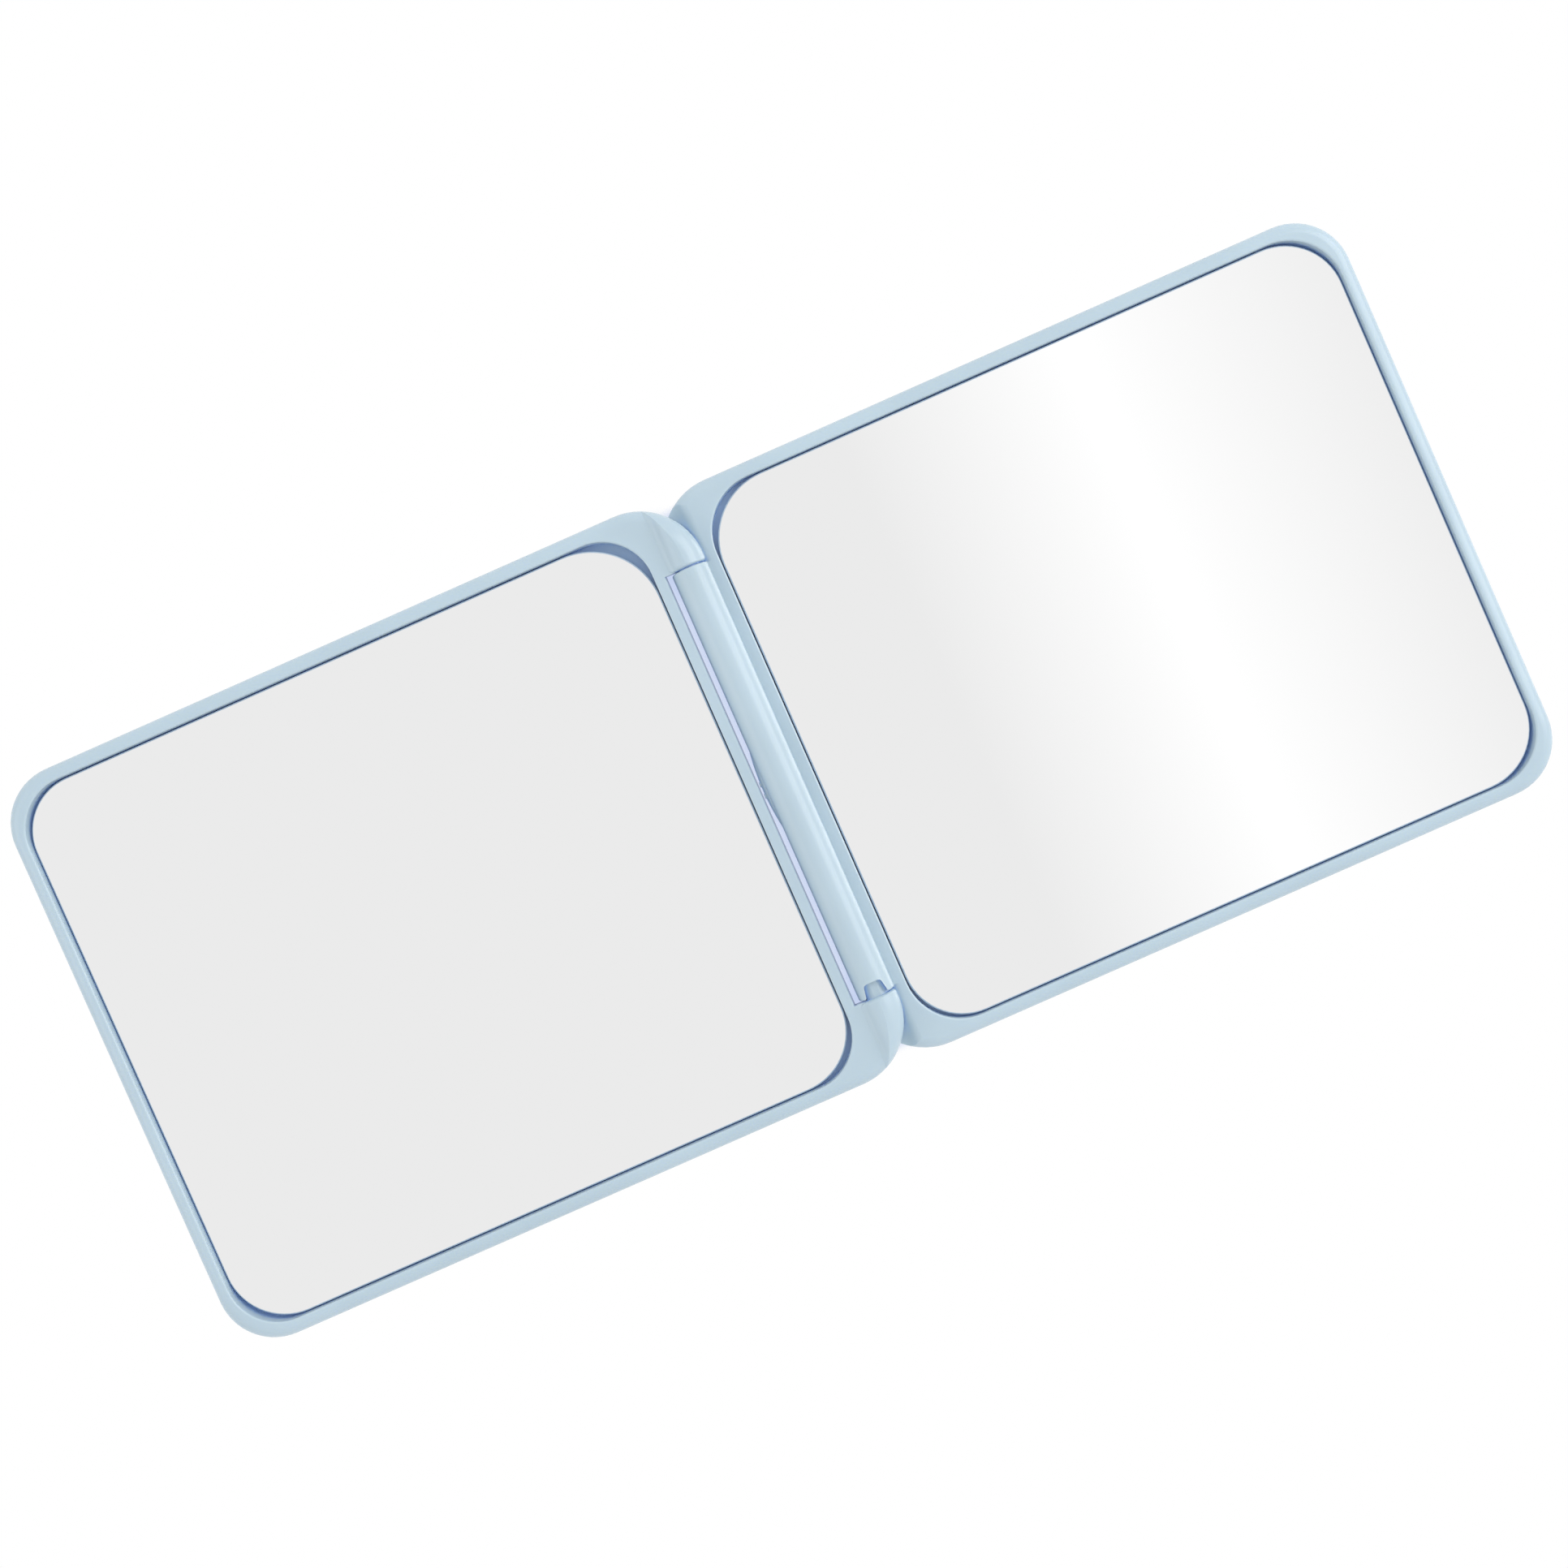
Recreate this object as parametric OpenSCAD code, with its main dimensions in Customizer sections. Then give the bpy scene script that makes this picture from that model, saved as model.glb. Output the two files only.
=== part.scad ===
// Folding pocket mirror, lying open and flat: base half on -X, lid half on +X.
// The hinge axis runs along Y. The origin is on the resting plane,
// straight below the middle of the hinge axis.

/* [Halves] */
// Width of both halves, along the hinge
body_w = 70; // [50:0.5:110]
// Distance from the hinge axis to the far edge of each half
reach = 82.4; // [60:0.1:120]
// Height of the base half, from its back to its rim
base_h = 6.2; // [5.8:0.1:9]
// Corner radius of the outline at the far edges
far_corner_r = 6.7; // [6:0.1:11]
// Corner radius of the outline at the hinge
hinge_corner_r = 7.7; // [6.5:0.1:12]
// Rounding of the outer rim edge, nearly as wide as the rim itself
rim_round = 1.4; // [0.4:0.05:1.5]
// Rounding of the edge of the backs
back_round = 1.6; // [0.6:0.1:1.7]
// Rounding of the thin inner edges
edge_break = 0.2; // [0.1:0.05:0.3]

/* [Hinge] */
// Radius of the barrel and of the lugs
knuckle_r = 2.15; // [1.9:0.05:2.4]
// Depth of the hinge axis below the rim of the base
axis_drop = 1.1; // [0.8:0.05:1.2]
// Distance between the two lugs
lug_gap = 52.7; // [30:0.1:54]
// Rounding of the inner end of each lug
lug_round = 0.5; // [0.2:0.05:0.7]
// Radius of the soft crease between each lug and the rim
crease_r = 1.35; // [0.3:0.05:1.35]
// Rounding of the ends of the barrel
barrel_round = 0.25; // [0.1:0.05:0.5]
// Play between the barrel and each lug
end_play = 0.15; // [0.1:0.01:0.5]
// Width of the slit between the barrel and the base
slit_w = 0.7; // [0.5:0.05:1.6]
// Thickness of the base at the ends of the slit, where its underside is cut back
slit_lip = 1.2; // [0.8:0.1:2]
// How far the underside is cut back there
slit_relief = 0.6; // [0.2:0.1:1]
// Radius of the stub pins moulded on the lugs
pin_r = 1.4; // [1:0.05:1.45]
// Length of the stub pins
pin_len = 3.2; // [2.4:0.1:5]
// Width of the flat along the top of each stub pin
pin_flat_w = 0.8; // [0.4:0.1:1.2]
// Radial play of the pins in the barrel
pin_play = 0.05; // [0.02:0.01:0.1]
// Gap between the end walls that stop the hinge when flat
stop_gap = 0.1; // [0.05:0.05:0.4]
// Play around the lugs in the corners of the lid
lug_play = 0.2; // [0.15:0.05:0.4]
// Rounding of the edge of those corners on the rim of the lid
scoop_round = 1.4; // [0.3:0.1:1.5]
// Gap between the rims when the mirror is shut
shut_gap = 0.1; // [0.05:0.05:0.3]

/* [Snap notch] */
// Width of the notch at the end of the barrel, where it is closed
notch_w = 2.2; // [1.8:0.05:2.6]
// Widening of the notch on each side at its mouth
notch_flare = 0.15; // [0:0.05:0.35]
// Rounding of the two corners at the mouth of the notch
notch_mouth_r = 0.4; // [0.1:0.05:0.5]
// Length of the notch
notch_len = 1.7; // [1.2:0.1:2.2]
// Radius of the inner corners of the notch
notch_corner_r = 0.5; // [0.3:0.1:0.8]

/* [Mirror seats] */
// Width of the rim around each mirror
rim_w = 1.7; // [1.3:0.05:3]
// Width of the ledge between the base mirror and the slit
ledge_w = 1.25; // [0.8:0.05:3]
// Width of the strip between the barrel and the lid mirror
strip_w = 1.4; // [1:0.05:3]
// Corner radius of the base seat
base_seat_corner_r = 6.1; // [5:0.1:8]
// Corner radius of the lid seat
lid_seat_corner_r = 6.6; // [5:0.1:8]
// Depth of the base mirror's face below the rim
base_sink = 1.1; // [0.6:0.1:1.4]
// Depth of the lid mirror's face below the rim
lid_sink = 0.9; // [0.5:0.1:1]

/* [Mirrors and pads] */
// Thickness of the mirror glass
glass_t = 1.5; // [1.1:0.1:1.8]
// Gap between the glass and the wall of its seat
glass_gap = 0.17; // [0.1:0.01:0.5]
// How much rounder than its seat each corner of the base glass is, cut by hand:
// hinge -Y, far -Y, far +Y, hinge +Y
base_glass_rounder = [1.1, 1, 0.4, 2.3]; // [0:0.1:4]
// How much rounder than its seat each corner of the lid glass is, in the same order
lid_glass_rounder = [0.4, 0.6, 0.4, 1.4]; // [0:0.1:4]
// Width of the seamed edge of the glass
glass_seam = 0.15; // [0.05:0.05:0.3]
// Thickness of the foam pad under the base mirror
base_pad_t = 1.6; // [0.8:0.1:2]
// Thickness of the adhesive pad under the lid mirror
lid_pad_t = 0.5; // [0.3:0.1:0.6]
// Distance from the edge of the pads to the edge of the glass
pad_inset = 2; // [1:0.5:4]
// Gap around the pads in their recesses
pad_gap = 0.3; // [0.1:0.1:0.8]
// How far the pads stand out of their recesses, so that they alone carry the glass
pad_proud = 0.1; // [0.05:0.05:0.2]

/* [Gate marks] */
// How far the swelling at the gates stands out from the barrel
swell_proud = 0.35; // [0.1:0.05:0.4]
// Length of that swelling along the barrel
swell_len = 9.2; // [4:0.1:16]
// Thickness of that swelling
swell_t = 1; // [0.6:0.1:1.6]
// How far the gate mark on the far edge of the base stands out
edge_gate_proud = 0.2; // [0.1:0.05:0.5]
// Radius of the gate mark on the far edge of the base
edge_gate_r = 0.3; // [0.2:0.05:0.6]
// Place of that gate mark along the edge, from the middle
edge_gate_y = 1.9; // [-20:0.1:20]
// How far the gate marks on the barrel stand out
barrel_gate_proud = 0.45; // [0.1:0.05:0.45]
// Radius of the gate marks on the barrel
barrel_gate_r = 0.3; // [0.2:0.05:0.7]
// Distance between the two gate marks on the barrel
barrel_gate_pitch = 1.4; // [0.8:0.1:6]

/* [Hidden] */
$fn = 96;

// Height of the hinge axis above the resting plane
axis_z = base_h - axis_drop;
// The lid is lower than the base, so that both backs lie flat when open
lid_h = axis_z - axis_drop - shut_gap;
barrel_len = lug_gap - 2 * end_play;
bore_r = pin_r + pin_play;
bore_depth = pin_len + end_play;
// Free end of the pins: a small lead-in
pin_lead = 0.3;
// Height of the flat along the top of the stub pins
pin_flat_z = axis_z + sqrt(pow(pin_r, 2) - pow(pin_flat_w / 2, 2));
// Radius of the free space that the corners of the lid leave for the lugs
scoop_r = knuckle_r + lug_play;
// The outline edge of the lugs is rounded from the same height as that of the rim
lug_edge_round = rim_round + knuckle_r - axis_drop;
// Radius of the swelling at the gates, seen from above
swell_r = (pow(swell_len / 2, 2) + pow(swell_proud, 2)) / (2 * swell_proud);
// Where the seats begin, measured from the hinge axis
base_seat_x = knuckle_r + slit_w + ledge_w;
lid_seat_x = knuckle_r + strip_w;
seat_far_x = reach - rim_w;
seat_w = body_w - 2 * rim_w;
// Height of the underside of the glass
base_glass_z = base_h - base_sink - glass_t;
lid_glass_z = lid_h - lid_sink - glass_t;
// Four values alike, one for each corner of a half
ALL = [1, 1, 1, 1];
// The corners of a half are counted from the hinge's -Y corner by way of the far edge
outline_r = [hinge_corner_r, far_corner_r, far_corner_r, hinge_corner_r];
base_glass_r = base_seat_corner_r * ALL + base_glass_rounder;
lid_glass_r = lid_seat_corner_r * ALL + lid_glass_rounder;
// Ways outwards from the -Y side, the far side, the +Y side and the hinge side
OUTWARDS = [[0, -1], [1, 0], [0, 1], [-1, 0]];
// Depth of the swept edge profiles, inside the smallest corner, and of the core that fills them
edge_depth = 4;
core_inset = 3.2;
glass_edge_depth = 2;
glass_core_inset = 1;
// Cutting solids reach this far past what they cut
past = 1;
// The crease beside the lug ends this far below the rim, where it would else only touch it
crease_sink = 0.02;
shell_blue = "#b8d3e1";

// Centres of the corner arcs of a rounded rectangle from x0 to x1, with its corner radii in r
function plate_centres(x0, x1, w, r) =
    let(corners = [[x0, -w / 2], [x1, -w / 2], [x1, w / 2], [x0, w / 2]])
    [for (i = [0 : 3]) corners[i] - r[i] * (OUTWARDS[i] + OUTWARDS[(i + 3) % 4])];

// Distance from the hinge axis of a circle that touches a knuckle of radius r and a level
// plane d away from the axis
function touching_x(r, circle_r, d) = sqrt(pow(r + circle_r, 2) - pow(d + circle_r, 2));

module plate_outline(x0, x1, w, r) {
    centres = plate_centres(x0, x1, w, r);
    polygon([for (i = [0 : 3], side = [(i + 3) % 4, i]) centres[i] + r[i] * OUTWARDS[side]]);
    for (i = [0 : 3]) translate(centres[i]) circle(r = r[i]);
}

// A profile drawn with its outer edge at x = 0, carried round that rectangle
module around_plate(x0, x1, w, r) {
    centres = plate_centres(x0, x1, w, r);
    for (i = [0 : 3]) {
        next = (i + 1) % 4;
        side_len = (centres[next] - centres[i]) * OUTWARDS[next];
        translate(centres[next]) rotate([0, 0, 90 * i - 90]) {
            rotate([90, 0, 0]) linear_extrude(side_len) translate([r[next], 0]) children();
            rotate_extrude(angle = 90) translate([r[next], 0]) children();
        }
    }
}

// Section through the outer edge of a half: rounded at the rim and at the back
module edge_profile(h, top_r, back_r) {
    translate([-edge_depth, 0]) square([edge_depth - back_r, back_r]);
    translate([-edge_depth, back_r]) square([edge_depth, h - top_r - back_r]);
    translate([-edge_depth, h - top_r]) square([edge_depth - top_r, top_r]);
    translate([-top_r, h - top_r]) circle(r = top_r);
    translate([-back_r, back_r]) circle(r = back_r);
}

// Solid blank of one half, from just behind the hinge axis to the far edge
module blank(h, top_r, back_r) {
    around_plate(-knuckle_r, reach, body_w, outline_r) edge_profile(h, top_r, back_r);
    linear_extrude(h)
        plate_outline(-knuckle_r + core_inset, reach - core_inset, body_w - 2 * core_inset,
            outline_r - core_inset * ALL);
}

// Pocket for one mirror, with its upper edge rounded off and a recess for the pad in its floor
module seat(x0, glass_z, rim_z, corner_r, pad_t, glass_r) {
    floor_z = glass_z - pad_proud;
    recess_inset = glass_gap + pad_inset - pad_gap;
    translate([0, 0, floor_z]) linear_extrude(rim_z - floor_z + past)
        plate_outline(x0, seat_far_x, seat_w, corner_r * ALL);
    translate([0, 0, glass_z - pad_t]) linear_extrude(pad_t)
        plate_outline(x0 + recess_inset, seat_far_x - recess_inset, seat_w - 2 * recess_inset,
            glass_r - (pad_inset - pad_gap) * ALL);
    translate([0, 0, rim_z - edge_break])
        around_plate(x0, seat_far_x, seat_w, corner_r * ALL)
            difference() {
                square([edge_break, edge_break + past]);
                translate([edge_break, 0]) circle(r = edge_break);
            }
}

// Cylinder on the hinge axis, from y0 to y1, with its y0 end rounded off
module knuckle(y0, y1, r, round_r) {
    translate([0, y0, axis_z]) rotate([-90, 0, 0]) {
        translate([0, 0, round_r]) cylinder(r = r, h = y1 - y0 - round_r);
        cylinder(r = r - round_r, h = y1 - y0);
        translate([0, 0, round_r]) rotate_extrude() translate([r - round_r, 0]) circle(r = round_r);
    }
}

// Section between a knuckle and a level plane d above the hinge axis, drawn from the axis
// and ended by the arc that touches both
module touching_section(r, arc_r, d) {
    x = touching_x(r, arc_r, d);
    z = d + arc_r;
    on_knuckle = r / (r + arc_r);
    difference() {
        polygon([[0, 0], [x, 0], [x, d], on_knuckle * [x, z], [0, on_knuckle * z]]);
        translate([x, z]) circle(r = arc_r);
    }
}

// Play between the lid's moving walls and the lugs, with its edge on the rim rounded off
module lug_room() {
    scoop_len = body_w / 2 + past - barrel_len / 2;
    for (side = [0, 1]) mirror([0, side, 0]) {
        translate([0, barrel_len / 2, axis_z]) rotate([-90, 0, 0])
            cylinder(r = scoop_r, h = scoop_len);
        translate([0, barrel_len / 2, axis_z]) rotate([-90, 0, 0])
            linear_extrude(scoop_len) touching_section(scoop_r, scoop_round, axis_z - lid_h);
    }
}

// Soft crease between the lug and the rim, which runs out over the rounded outline
module lug_crease() {
    level = axis_drop - crease_sink;
    x = touching_x(knuckle_r, crease_r, level);
    // The outline's corner arc and the top of its rounding, where the crease meets them
    arc_y = body_w / 2 - hinge_corner_r;
    arc_x = hinge_corner_r - knuckle_r - x;
    rounding_y = arc_y + sqrt(pow(hinge_corner_r - rim_round, 2) - pow(arc_x, 2));
    bend_r = arc_y + sqrt(pow(hinge_corner_r, 2) - pow(arc_x, 2)) - rounding_y;
    reach_r = sqrt(pow(x, 2) + pow(level, 2));
    difference() {
        intersection() {
            translate([0, body_w / 2 + past, axis_z]) rotate([90, 0, 0])
                linear_extrude(body_w / 2 + past - lug_gap / 2)
                    touching_section(knuckle_r, crease_r, level);
            knuckle(lug_gap / 2, body_w / 2 + past, reach_r, reach_r - knuckle_r + lug_round);
        }
        translate([x, rounding_y, axis_z + level - bend_r]) rotate([90, 0, 90])
            rotate_extrude(angle = 90) translate([bend_r + crease_r, 0]) circle(r = crease_r);
    }
}

// Lug at the +Y end, drawn in the half whose body is on +X
module lug() {
    intersection() {
        union() {
            knuckle(lug_gap / 2, body_w / 2 + past, knuckle_r, lug_round);
            lug_crease();
        }
        blank(axis_z + knuckle_r, lug_edge_round, back_round);
    }
}

// Stub pin that reaches from the lug into the barrel
module stub_pin() {
    difference() {
        translate([0, lug_gap / 2 - pin_len, axis_z]) rotate([-90, 0, 0]) {
            cylinder(r1 = pin_r - pin_lead, r2 = pin_r, h = pin_lead);
            translate([0, 0, pin_lead]) cylinder(r = pin_r, h = pin_len + lug_round);
        }
        translate([-pin_r, lug_gap / 2 - pin_len - past, pin_flat_z])
            cube([2 * pin_r, pin_len + past, pin_r]);
    }
}

module base_half() {
    difference() {
        blank(base_h, rim_round, back_round);
        seat(base_seat_x, base_glass_z, base_h, base_seat_corner_r, base_pad_t, base_glass_r);
        // End wall on the hinge line
        translate([-reach + stop_gap / 2, -body_w, -past]) cube([reach, 2 * body_w, base_h + 2 * past]);
        // Room for the barrel, with its long upper edge rounded off
        translate([-past, -lug_gap / 2, -past])
            cube([knuckle_r + slit_w + past, lug_gap, base_h + 2 * past]);
        translate([-past, -lug_gap / 2 - slit_relief, -past])
            cube([knuckle_r + slit_w + past, lug_gap + 2 * slit_relief, base_h - slit_lip + past]);
        translate([knuckle_r + slit_w, lug_gap / 2, base_h - edge_break]) rotate([90, 0, 0])
            linear_extrude(lug_gap) difference() {
                translate([-past, 0]) square([edge_break + past, edge_break + past]);
                translate([edge_break, 0]) circle(r = edge_break);
            }
    }
    for (side = [0, 1]) mirror([0, side, 0]) {
        lug();
        stub_pin();
    }
}

module base_shell() {
    color(shell_blue) mirror([1, 0, 0]) base_half();
    color(shell_blue)
        translate([-reach - edge_gate_proud, edge_gate_y, base_h / 2]) rotate([0, 90, 0])
            cylinder(r = edge_gate_r, h = edge_gate_proud + past);
}

// Outline of the notch in the end of the barrel, drawn towards +Y from its closed end
module notch_outline() {
    half = notch_w / 2;
    r = notch_corner_r;
    mouth_r = notch_mouth_r;
    mouth = half + notch_flare;
    translate([-half + r, 0]) square([notch_w - 2 * r, notch_len + past]);
    for (side = [-1, 1]) translate([side * (half - r), r]) circle(r = r);
    polygon([[-half, r], [half, r], [mouth, notch_len - mouth_r], [mouth, notch_len + past],
        [-mouth, notch_len + past], [-mouth, notch_len - mouth_r]]);
    difference() {
        translate([-mouth - mouth_r, notch_len - mouth_r])
            square([2 * (mouth + mouth_r), mouth_r + past]);
        for (side = [-1, 1])
            translate([side * (mouth + mouth_r), notch_len - mouth_r]) circle(r = mouth_r);
    }
}

// Low swelling along the middle of the barrel, where it was gated
module gate_swelling() {
    // Half the angle over which it stands out, and a little more to end inside the barrel
    sweep = 1.2 * asin(swell_len / 2 / swell_r);
    translate([swell_r - knuckle_r - swell_proud, 0, axis_z]) rotate([0, 0, 180 - sweep])
        rotate_extrude(angle = 2 * sweep) translate([swell_r - swell_t / 2, 0]) circle(d = swell_t);
}

module barrel() {
    for (side = [0, 1]) mirror([0, side, 0])
        knuckle(-barrel_len / 2, 0, knuckle_r, barrel_round);
    gate_swelling();
    for (side = [-1, 1])
        translate([-knuckle_r - barrel_gate_proud, side * barrel_gate_pitch / 2, axis_z])
            rotate([0, 90, 0]) cylinder(r = barrel_gate_r, h = barrel_gate_proud + past);
}

module lid_shell() {
    color(shell_blue) difference() {
        union() {
            difference() {
                blank(lid_h, rim_round, back_round);
                translate([-reach + stop_gap / 2, -body_w, -past])
                    cube([reach, 2 * body_w, lid_h + 2 * past]);
                lug_room();
            }
            // Wall that carries the barrel, up to the level of the axis
            translate([stop_gap / 2, -barrel_len / 2, back_round])
                cube([knuckle_r - stop_gap / 2, barrel_len, axis_z - back_round]);
            barrel();
        }
        seat(lid_seat_x, lid_glass_z, lid_h, lid_seat_corner_r, lid_pad_t, lid_glass_r);
        for (side = [0, 1]) mirror([0, side, 0])
            translate([0, barrel_len / 2 - bore_depth, axis_z]) rotate([-90, 0, 0])
                cylinder(r = bore_r, h = bore_depth + past);
        translate([0, -barrel_len / 2 + notch_len, axis_z]) mirror([0, 1, 0])
            linear_extrude(knuckle_r + past) notch_outline();
    }
}

// Glass with a narrow seam ground along both edges
module glass(x0, x1, z0, r) {
    w = seat_w - 2 * glass_gap;
    translate([0, 0, z0]) {
        around_plate(x0, x1, w, r)
            polygon([[-glass_edge_depth, 0], [-glass_seam, 0], [0, glass_seam],
                [0, glass_t - glass_seam], [-glass_seam, glass_t], [-glass_edge_depth, glass_t]]);
        linear_extrude(glass_t)
            plate_outline(x0 + glass_core_inset, x1 - glass_core_inset, w - 2 * glass_core_inset,
                r - glass_core_inset * ALL);
    }
}

// Pad under the glass, cut to the same shape, but smaller
module pad(x0, x1, glass_z, t, glass_r) {
    w = seat_w - 2 * (glass_gap + pad_inset);
    translate([0, 0, glass_z - t]) linear_extrude(t)
        plate_outline(x0 + pad_inset, x1 - pad_inset, w, glass_r - pad_inset * ALL);
}

module base_mirror() {
    color("gainsboro") mirror([1, 0, 0])
        glass(base_seat_x + glass_gap, seat_far_x - glass_gap, base_glass_z, base_glass_r);
}

module lid_mirror() {
    color("gainsboro")
        glass(lid_seat_x + glass_gap, seat_far_x - glass_gap, lid_glass_z, lid_glass_r);
}

module base_pad() {
    color("dimgray") mirror([1, 0, 0])
        pad(base_seat_x + glass_gap, seat_far_x - glass_gap, base_glass_z, base_pad_t, base_glass_r);
}

module lid_pad() {
    color("dimgray")
        pad(lid_seat_x + glass_gap, seat_far_x - glass_gap, lid_glass_z, lid_pad_t, lid_glass_r);
}

base_shell();
lid_shell();
base_mirror();
lid_mirror();
base_pad();
lid_pad();
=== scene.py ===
# Folding pocket mirror: the finish of its shells, mirrors and pads, its floor, light and camera.
import math

import bmesh
import bpy
from mathutils import Euler, Matrix

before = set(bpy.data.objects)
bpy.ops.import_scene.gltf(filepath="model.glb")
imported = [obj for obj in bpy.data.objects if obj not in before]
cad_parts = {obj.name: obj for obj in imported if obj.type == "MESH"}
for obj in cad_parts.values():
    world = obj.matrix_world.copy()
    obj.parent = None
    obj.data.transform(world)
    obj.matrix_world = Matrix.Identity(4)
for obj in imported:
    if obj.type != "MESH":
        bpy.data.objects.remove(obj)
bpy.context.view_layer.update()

MM = 0.001
MICRON = 0.001 * MM

# Camera, as the photograph was taken: nearly straight above the hinge, with the mirror aslant.
# Its focal length is in pixels of a square picture, and the sensor's width in millimetres.
CAMERA_PLACE = (3.05 * MM, 3.80 * MM, 235 * MM)
CAMERA_TILT = (math.radians(-1.238), math.radians(0.297), math.radians(-23.813))
FRAME_SIDE = 1932
FOCAL_PIXELS = 2512.5
SENSOR = 36.0

# The floor lies a hair below the mirror, so that the two don't share a plane.
FLOOR_HALF = 2.0
FLOOR_DROP = 0.05 * MM

# A face of the glass is its front or back if its normal leans less than about 18 degrees.
LEVEL = 0.95

WHITE = [1, 1, 1, 1]
BLACK = [0, 0, 0, 1]

# Sockets of Blender's Mix node when it mixes colours
MIX_SHARE, MIX_FIRST, MIX_SECOND, MIXED = 0, 6, 7, 2


def linear(hex_code):
    """An sRGB hex colour as linear red, green, blue and alpha."""
    parts = [int(hex_code[i : i + 2], 16) / 255 for i in (1, 3, 5)]
    return [c / 12.92 if c <= 0.04045 else ((c + 0.055) / 1.055) ** 2.4 for c in parts] + [1.0]


def grey(share):
    """A linear grey that gives back this share of the light."""
    return [share, share, share, 1]


def node(tree, kind, settings=(), inputs=()):
    """Adds a shader node: settings are its own, inputs are values or the sockets that feed it."""
    made = tree.nodes.new(kind)
    for name, value in dict(settings).items():
        setattr(made, name, value)
    for name, value in dict(inputs).items():
        if isinstance(value, bpy.types.NodeSocket):
            tree.links.new(value, made.inputs[name])
        else:
            made.inputs[name].default_value = value
    return made


def material(name):
    """An empty material and its node tree."""
    made = bpy.data.materials.new(name)
    made.use_nodes = True
    made.node_tree.nodes.clear()
    return made, made.node_tree


def dress(part, finish):
    """Puts one material on a part."""
    part.data.materials.clear()
    part.data.materials.append(finish)


def moulded_abs():
    """Injection-moulded ABS, pale blue and a little milky, so that some light spreads inside it.
    It has a gloss softened by the fine grain of the mould, faint flow waves, and a stronger blue in
    gaps: partly real, from light spreading inside the plastic, and partly painted shade, a blue tint
    mixed into the colour where ambient occlusion finds a gap."""
    made, tree = material("injection-moulded ABS, pale blue")
    place = node(tree, "ShaderNodeTexCoord").outputs["Object"]

    # Broad clouds in the pigment, about 12 mm wide
    clouds = node(
        tree,
        "ShaderNodeTexNoise",
        inputs={"Vector": place, "Scale": 1 / (12 * MM), "Detail": 2.0, "Roughness": 0.5},
    )
    pigment = node(tree, "ShaderNodeValToRGB", inputs={"Fac": clouds.outputs["Fac"]})
    pigment.color_ramp.elements[0].position = 0.35
    pigment.color_ramp.elements[0].color = linear("#b8ccd8")
    pigment.color_ramp.elements[1].position = 0.65
    pigment.color_ramp.elements[1].color = linear("#bcd0dc")

    # Painted shade: where ambient occlusion finds a gap, the colour is mixed toward a stronger blue,
    # standing in for light that has passed through the plastic
    painted_shade_occlusion = node(tree, "ShaderNodeAmbientOcclusion", {"samples": 16}, {"Distance": 4 * MM})
    openness_against_painted_blue = node(
        tree,
        "ShaderNodeMapRange",
        inputs={"Value": painted_shade_occlusion.outputs["AO"], "From Min": 0.1, "From Max": 0.5},
    )
    pigment_with_painted_gap_blue = node(
        tree,
        "ShaderNodeMix",
        {"data_type": "RGBA"},
        {
            MIX_SHARE: openness_against_painted_blue.outputs["Result"],
            MIX_FIRST: linear("#bedaff"),
            MIX_SECOND: pigment.outputs["Color"],
        },
    )

    # Grain of the mould, 0.35 mm, drawn coarser than the real 0.05 mm so that it shows
    grain = node(
        tree,
        "ShaderNodeTexNoise",
        inputs={"Vector": place, "Scale": 1 / (0.35 * MM), "Detail": 3.0, "Roughness": 0.6},
    )
    gloss = node(
        tree,
        "ShaderNodeMapRange",
        inputs={"Value": grain.outputs["Fac"], "To Min": 0.22, "To Max": 0.28},
    )
    # Flow waves, 3 mm
    waves = node(
        tree,
        "ShaderNodeTexNoise",
        inputs={"Vector": place, "Scale": 1 / (3 * MM), "Detail": 1.0},
    )
    waved = node(
        tree,
        "ShaderNodeBump",
        inputs={"Strength": 1.0, "Distance": 12 * MICRON, "Height": waves.outputs["Fac"]},
    )
    grained = node(
        tree,
        "ShaderNodeBump",
        inputs={
            "Strength": 1.0,
            "Distance": 1.5 * MICRON,
            "Height": grain.outputs["Fac"],
            "Normal": waved.outputs["Normal"],
        },
    )
    skin = node(
        tree,
        "ShaderNodeBsdfPrincipled",
        inputs={
            # The base colour holds the painted blue shade in gaps
            "Base Color": pigment_with_painted_gap_blue.outputs[MIXED],
            "Roughness": gloss.outputs["Result"],
            "IOR": 1.54,
            "Subsurface Weight": 0.2,
            "Subsurface Radius": (0.9, 1.0, 1.4),
            "Subsurface Scale": 1.2 * MM,
            "Normal": grained.outputs["Normal"],
        },
    )
    node(tree, "ShaderNodeOutputMaterial", inputs={"Surface": skin.outputs["BSDF"]})
    return made


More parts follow.
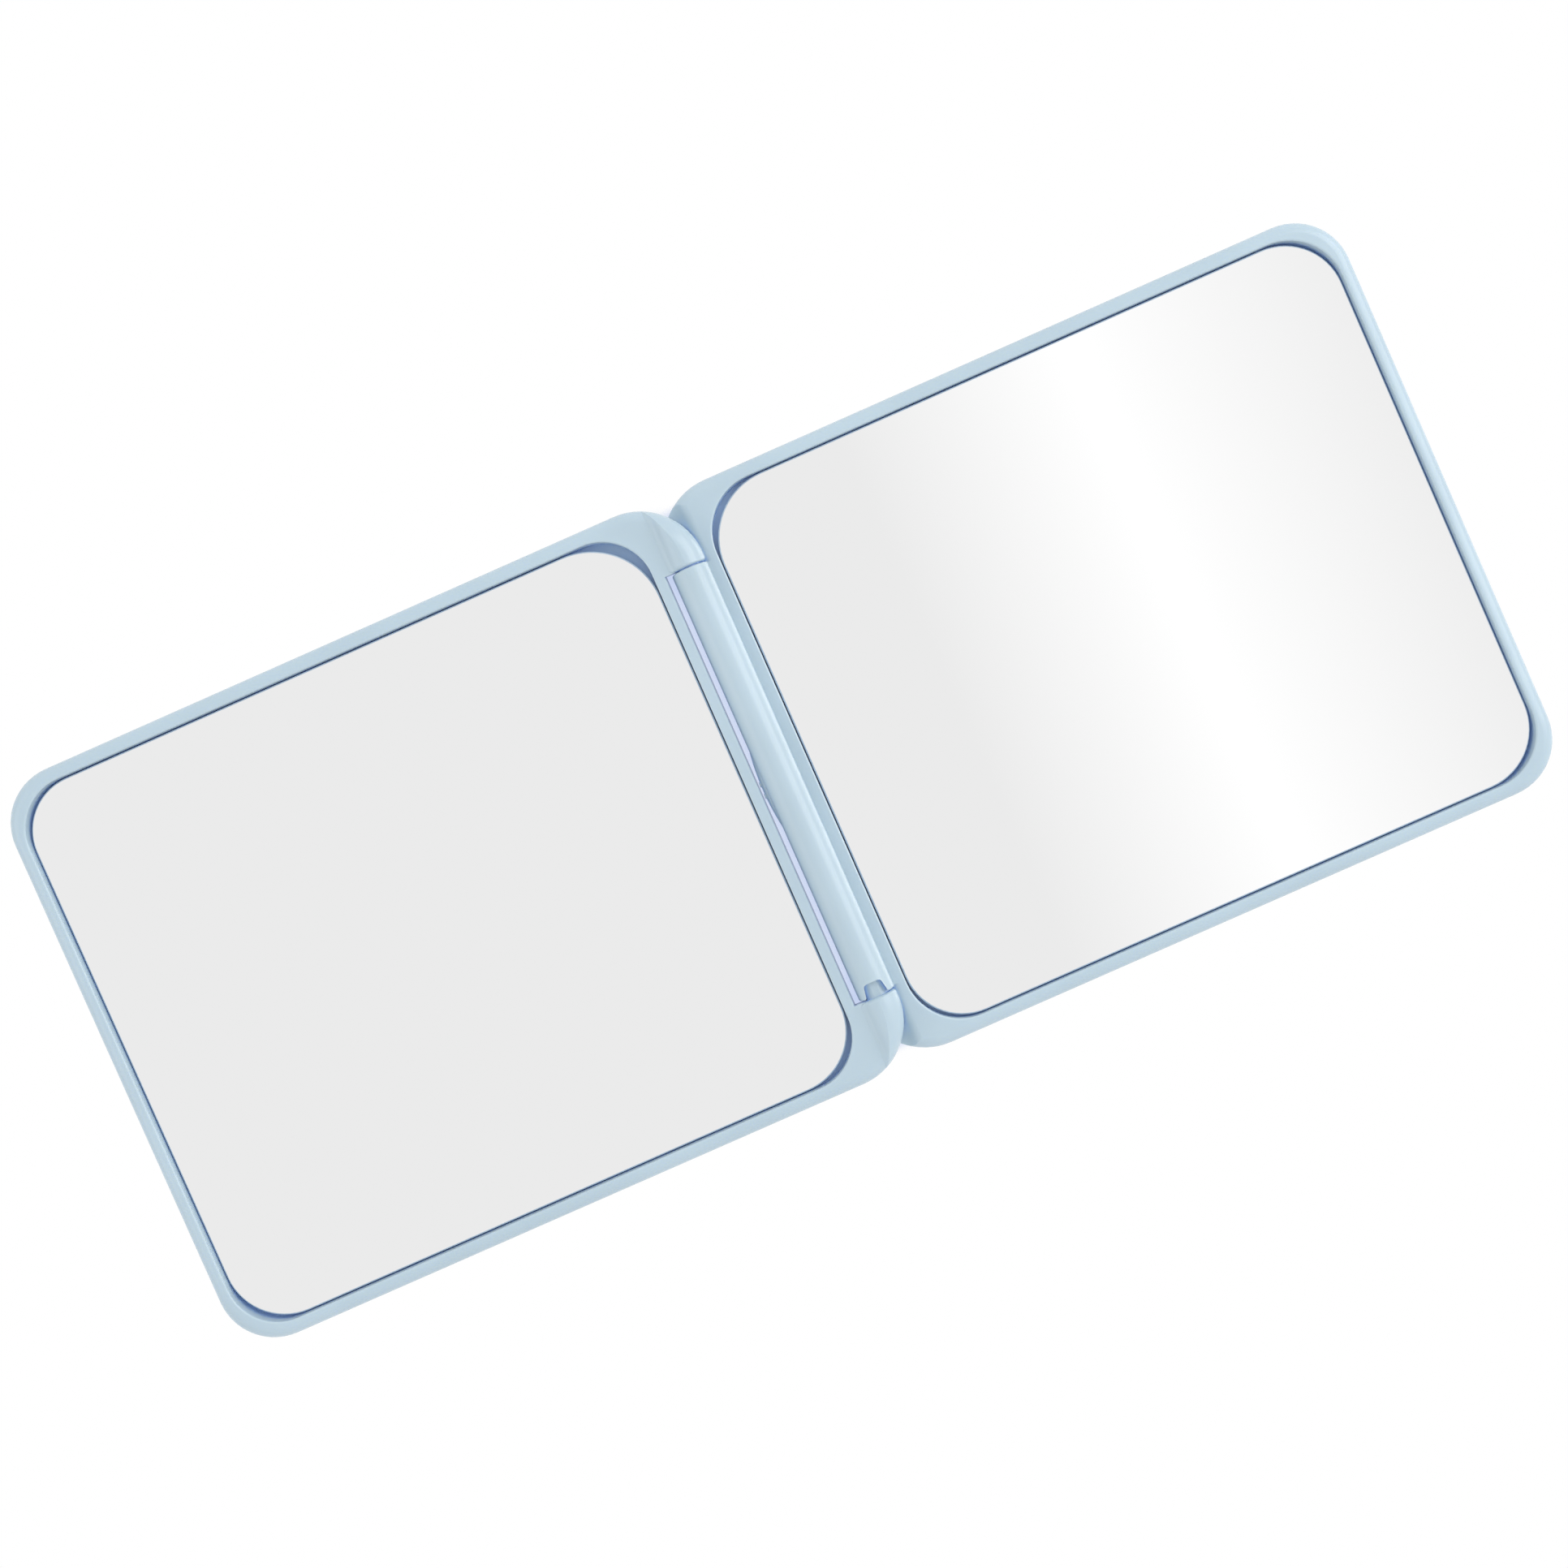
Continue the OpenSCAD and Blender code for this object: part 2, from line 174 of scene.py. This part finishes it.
def silvered_glass():
    """Float glass silvered on its back: a clean mirror on its face, pale bluish ground glass on
    its edges and seams, and grey backing paint below."""
    made, tree = material("silvered float glass")
    facing = node(
        tree,
        "ShaderNodeSeparateXYZ",
        inputs={0: node(tree, "ShaderNodeTexCoord").outputs["Normal"]},
    ).outputs["Z"]
    mirror = node(
        tree, "ShaderNodeMath", {"operation": "GREATER_THAN"}, {0: facing, 1: LEVEL}
    ).outputs[0]
    painted = node(
        tree, "ShaderNodeMath", {"operation": "LESS_THAN"}, {0: facing, 1: -LEVEL}
    ).outputs[0]
    edge_or_back = node(
        tree,
        "ShaderNodeMix",
        {"data_type": "RGBA"},
        {MIX_SHARE: painted, MIX_FIRST: linear("#d2e2f0"), MIX_SECOND: linear("#71767b")},
    ).outputs[MIXED]
    colour = node(
        tree,
        "ShaderNodeMix",
        {"data_type": "RGBA"},
        {MIX_SHARE: mirror, MIX_FIRST: edge_or_back, MIX_SECOND: grey(0.83)},
    ).outputs[MIXED]
    roughness = node(
        tree, "ShaderNodeMapRange", inputs={"Value": mirror, "To Min": 0.4, "To Max": 0.01}
    ).outputs["Result"]
    face = node(
        tree,
        "ShaderNodeBsdfPrincipled",
        inputs={"Base Color": colour, "Metallic": mirror, "Roughness": roughness},
    )
    node(tree, "ShaderNodeOutputMaterial", inputs={"Surface": face.outputs["BSDF"]})
    return made


def foam_tape():
    """Closed-cell polyethylene foam tape: dull charcoal, with open cells 0.3 mm wide on its cut."""
    made, tree = material("closed-cell polyethylene foam, charcoal")
    place = node(tree, "ShaderNodeTexCoord").outputs["Object"]
    cells = node(
        tree, "ShaderNodeTexVoronoi", inputs={"Vector": place, "Scale": 1 / (0.3 * MM)}
    ).outputs["Distance"]
    colour = node(tree, "ShaderNodeValToRGB", inputs={"Fac": cells})
    colour.color_ramp.elements[0].color = linear("#3d4044")
    colour.color_ramp.elements[1].color = linear("#64686d")
    pitted = node(
        tree, "ShaderNodeBump", inputs={"Strength": 0.6, "Distance": 60 * MICRON, "Height": cells}
    )
    face = node(
        tree,
        "ShaderNodeBsdfPrincipled",
        inputs={
            "Base Color": colour.outputs["Color"],
            "Roughness": 0.9,
            "Normal": pitted.outputs["Normal"],
        },
    )
    node(tree, "ShaderNodeOutputMaterial", inputs={"Surface": face.outputs["BSDF"]})
    return made


def white_floor():
    """Matt white paper that the camera sees as white, with a painted soft bluish shadow in slits and
    right beside the mirror, its colour drawn from ambient occlusion."""
    made, tree = material("white paper floor")
    paper = node(tree, "ShaderNodeBsdfDiffuse", inputs={"Color": grey(0.85)})
    # Painted shadow: the white that the camera sees turns a soft bluish grey where ambient occlusion
    # finds the paper shut in
    painted_shade_occlusion = node(tree, "ShaderNodeAmbientOcclusion", {"samples": 8}, {"Distance": 4 * MM})
    shade = node(tree, "ShaderNodeValToRGB", inputs={"Fac": painted_shade_occlusion.outputs["AO"]})
    shade.color_ramp.elements[0].position = 0.38
    shade.color_ramp.elements[0].color = linear("#c6d3f0")
    shade.color_ramp.elements[1].position = 0.47
    shade.color_ramp.elements[1].color = WHITE
    glow = node(tree, "ShaderNodeEmission", inputs={"Color": shade.outputs["Color"], "Strength": 1.0})
    mixed = node(
        tree,
        "ShaderNodeMixShader",
        inputs={0: background_ray(tree), 1: paper.outputs[0], 2: glow.outputs[0]},
    )
    node(tree, "ShaderNodeOutputMaterial", inputs={"Surface": mixed.outputs[0]})
    return made


def background_ray(tree):
    """1 for rays that show the background: from the camera, in a reflection or through glass.
    Light that the mirrors throw on the plastic is left as it is."""
    path = node(tree, "ShaderNodeLightPath")
    seen = node(
        tree,
        "ShaderNodeMath",
        {"operation": "MAXIMUM"},
        {0: path.outputs["Is Camera Ray"], 1: path.outputs["Is Glossy Ray"]},
    )
    shown = node(
        tree,
        "ShaderNodeMath",
        {"operation": "MAXIMUM"},
        {0: seen.outputs[0], 1: path.outputs["Is Transmission Ray"]},
    )
    return node(
        tree,
        "ShaderNodeMath",
        {"operation": "GREATER_THAN"},
        {0: shown.outputs[0], 1: path.outputs["Diffuse Depth"]},
    ).outputs[0]


def studio():
    """A white tent: its walls light the mirror more than its roof, where the camera hangs. In
    reflections it is plain white, with a soft brighter strip that the lid mirror catches."""
    world = bpy.data.worlds.new("white tent")
    bpy.context.scene.world = world
    world.use_nodes = True
    tree = world.node_tree
    tree.nodes.clear()
    way = node(
        tree,
        "ShaderNodeSeparateXYZ",
        inputs={0: node(tree, "ShaderNodeTexCoord").outputs["Generated"]},
    )
    wall = node(
        tree,
        "ShaderNodeMapRange",
        {"interpolation_type": "SMOOTHSTEP"},
        {"Value": way.outputs["Z"], "From Min": 0.0, "From Max": 1.0, "To Min": 1.1, "To Max": 0.7},
    ).outputs["Result"]
    light = node(tree, "ShaderNodeBackground", inputs={"Color": WHITE, "Strength": wall})

    # The strip runs along Y, and the ramp follows how far a ray leans to +X
    slope = node(
        tree, "ShaderNodeMath", {"operation": "DIVIDE"}, {0: way.outputs["X"], 1: way.outputs["Z"]}
    ).outputs[0]
    strip = node(tree, "ShaderNodeValToRGB", inputs={"Fac": slope})
    strip.color_ramp.elements[0].position = 0.08
    strip.color_ramp.elements[0].color = BLACK
    strip.color_ramp.elements[1].position = 0.2
    strip.color_ramp.elements[1].color = WHITE
    strip.color_ramp.elements.new(0.34).color = grey(0.13)
    roof = node(
        tree,
        "ShaderNodeMapRange",
        inputs={"Value": strip.outputs["Color"], "To Min": 1.0, "To Max": 1.22},
    ).outputs["Result"]
    white = node(tree, "ShaderNodeBackground", inputs={"Color": WHITE, "Strength": roof})
    mixed = node(
        tree,
        "ShaderNodeMixShader",
        inputs={0: background_ray(tree), 1: light.outputs[0], 2: white.outputs[0]},
    )
    node(tree, "ShaderNodeOutputWorld", inputs={"Surface": mixed.outputs[0]})


def softbox(name, place, width, height, watts):
    """A rectangular soft light, turned to the hinge. Its place and sides are in metres."""
    lamp = bpy.data.lights.new(name, "AREA")
    lamp.shape = "RECTANGLE"
    lamp.size = width
    lamp.size_y = height
    lamp.energy = watts
    made = bpy.data.objects.new(name, lamp)
    made.location = place
    away = made.location.normalized()
    made.rotation_euler = away.to_track_quat("Z", "Y").to_euler()
    bpy.context.scene.collection.objects.link(made)


def floor():
    """The sheet of white paper on which the mirror lies."""
    bm = bmesh.new()
    bmesh.ops.create_grid(bm, x_segments=1, y_segments=1, size=FLOOR_HALF)
    bmesh.ops.transform(bm, matrix=Matrix.Translation((0, 0, -FLOOR_DROP)), verts=bm.verts)
    mesh = bpy.data.meshes.new("floor")
    bm.to_mesh(mesh)
    bm.free()
    made = bpy.data.objects.new("floor", mesh)
    bpy.context.scene.collection.objects.link(made)
    dress(made, white_floor())


def camera():
    """The photograph's own viewpoint."""
    view = bpy.data.cameras.new("camera")
    view.sensor_width = SENSOR
    view.lens = FOCAL_PIXELS / FRAME_SIDE * SENSOR
    view.clip_start = 10 * MM
    made = bpy.data.objects.new("camera", view)
    made.location = CAMERA_PLACE
    made.rotation_euler = Euler(CAMERA_TILT)
    bpy.context.scene.collection.objects.link(made)
    bpy.context.scene.camera = made


plastic = moulded_abs()
glass = silvered_glass()
foam = foam_tape()
for half in ("base", "lid"):
    dress(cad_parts[half + "_shell"], plastic)
    dress(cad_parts[half + "_mirror"], glass)
    dress(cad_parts[half + "_pad"], foam)

floor()
studio()
softbox("right softbox", place=(0.55, 0.1, 0.4), width=0.5, height=0.5, watts=1.7)
softbox("left softbox", place=(-0.55, 0.1, 0.35), width=0.4, height=0.4, watts=0.4)
camera()
bpy.context.scene.view_settings.view_transform = "Standard"
